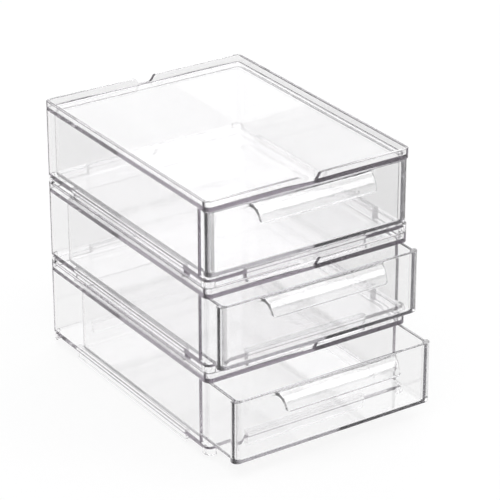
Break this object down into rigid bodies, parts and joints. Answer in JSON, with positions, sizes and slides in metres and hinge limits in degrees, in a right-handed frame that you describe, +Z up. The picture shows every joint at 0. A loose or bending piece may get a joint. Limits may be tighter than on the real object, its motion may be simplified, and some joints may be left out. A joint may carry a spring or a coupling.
{
  "type": "craft stamp storage drawers",
  "caption": "Stack of clear moulded units for craft stamps and small parts, each an open-fronted housing with a pull-out tray that has a curved pull lip.",
  "frame": {"origin": "on the ground, under the middle of the stack as it stands with its drawers partly open", "axes": "+Z up; the drawers face and open towards -Y; +X to the right seen from the front"},
  "size_m": [0.1352, 0.209, 0.1576],
  "materials": {
    "clear_housing": "clear polished injection moulding",
    "clear_drawer": "clear polished injection moulding"
  },
  "bodies": {
    "bottom_housing": {"bottom_housing": "clear_housing"},
    "bottom_drawer": {"bottom_drawer": "clear_drawer"},
    "middle_housing": {"middle_housing": "clear_housing"},
    "middle_drawer": {"middle_drawer": "clear_drawer"},
    "top_housing": {"top_housing": "clear_housing"},
    "top_drawer": {"top_drawer": "clear_drawer"}
  },
  "joints": [
    {"name": "bottom_drawer_slide", "type": "slide", "parent": "bottom_housing", "child": "bottom_drawer", "axis": [0, -1, 0], "range_m": [-0.026, 0.104]},
    {"name": "middle_drawer_slide", "type": "slide", "parent": "middle_housing", "child": "middle_drawer", "axis": [0, -1, 0], "range_m": [-0.012, 0.118]},
    {"name": "top_drawer_slide", "type": "slide", "parent": "top_housing", "child": "top_drawer", "axis": [0, -1, 0], "range_m": [0, 0.13]},
    {"name": "middle_unit_lift", "type": "slide", "parent": "bottom_housing", "child": "middle_housing", "axis": [0, 0, 1], "range_m": [0, 0.06]},
    {"name": "top_unit_lift", "type": "slide", "parent": "middle_housing", "child": "top_housing", "axis": [0, 0, 1], "range_m": [0, 0.06]}
  ]
}
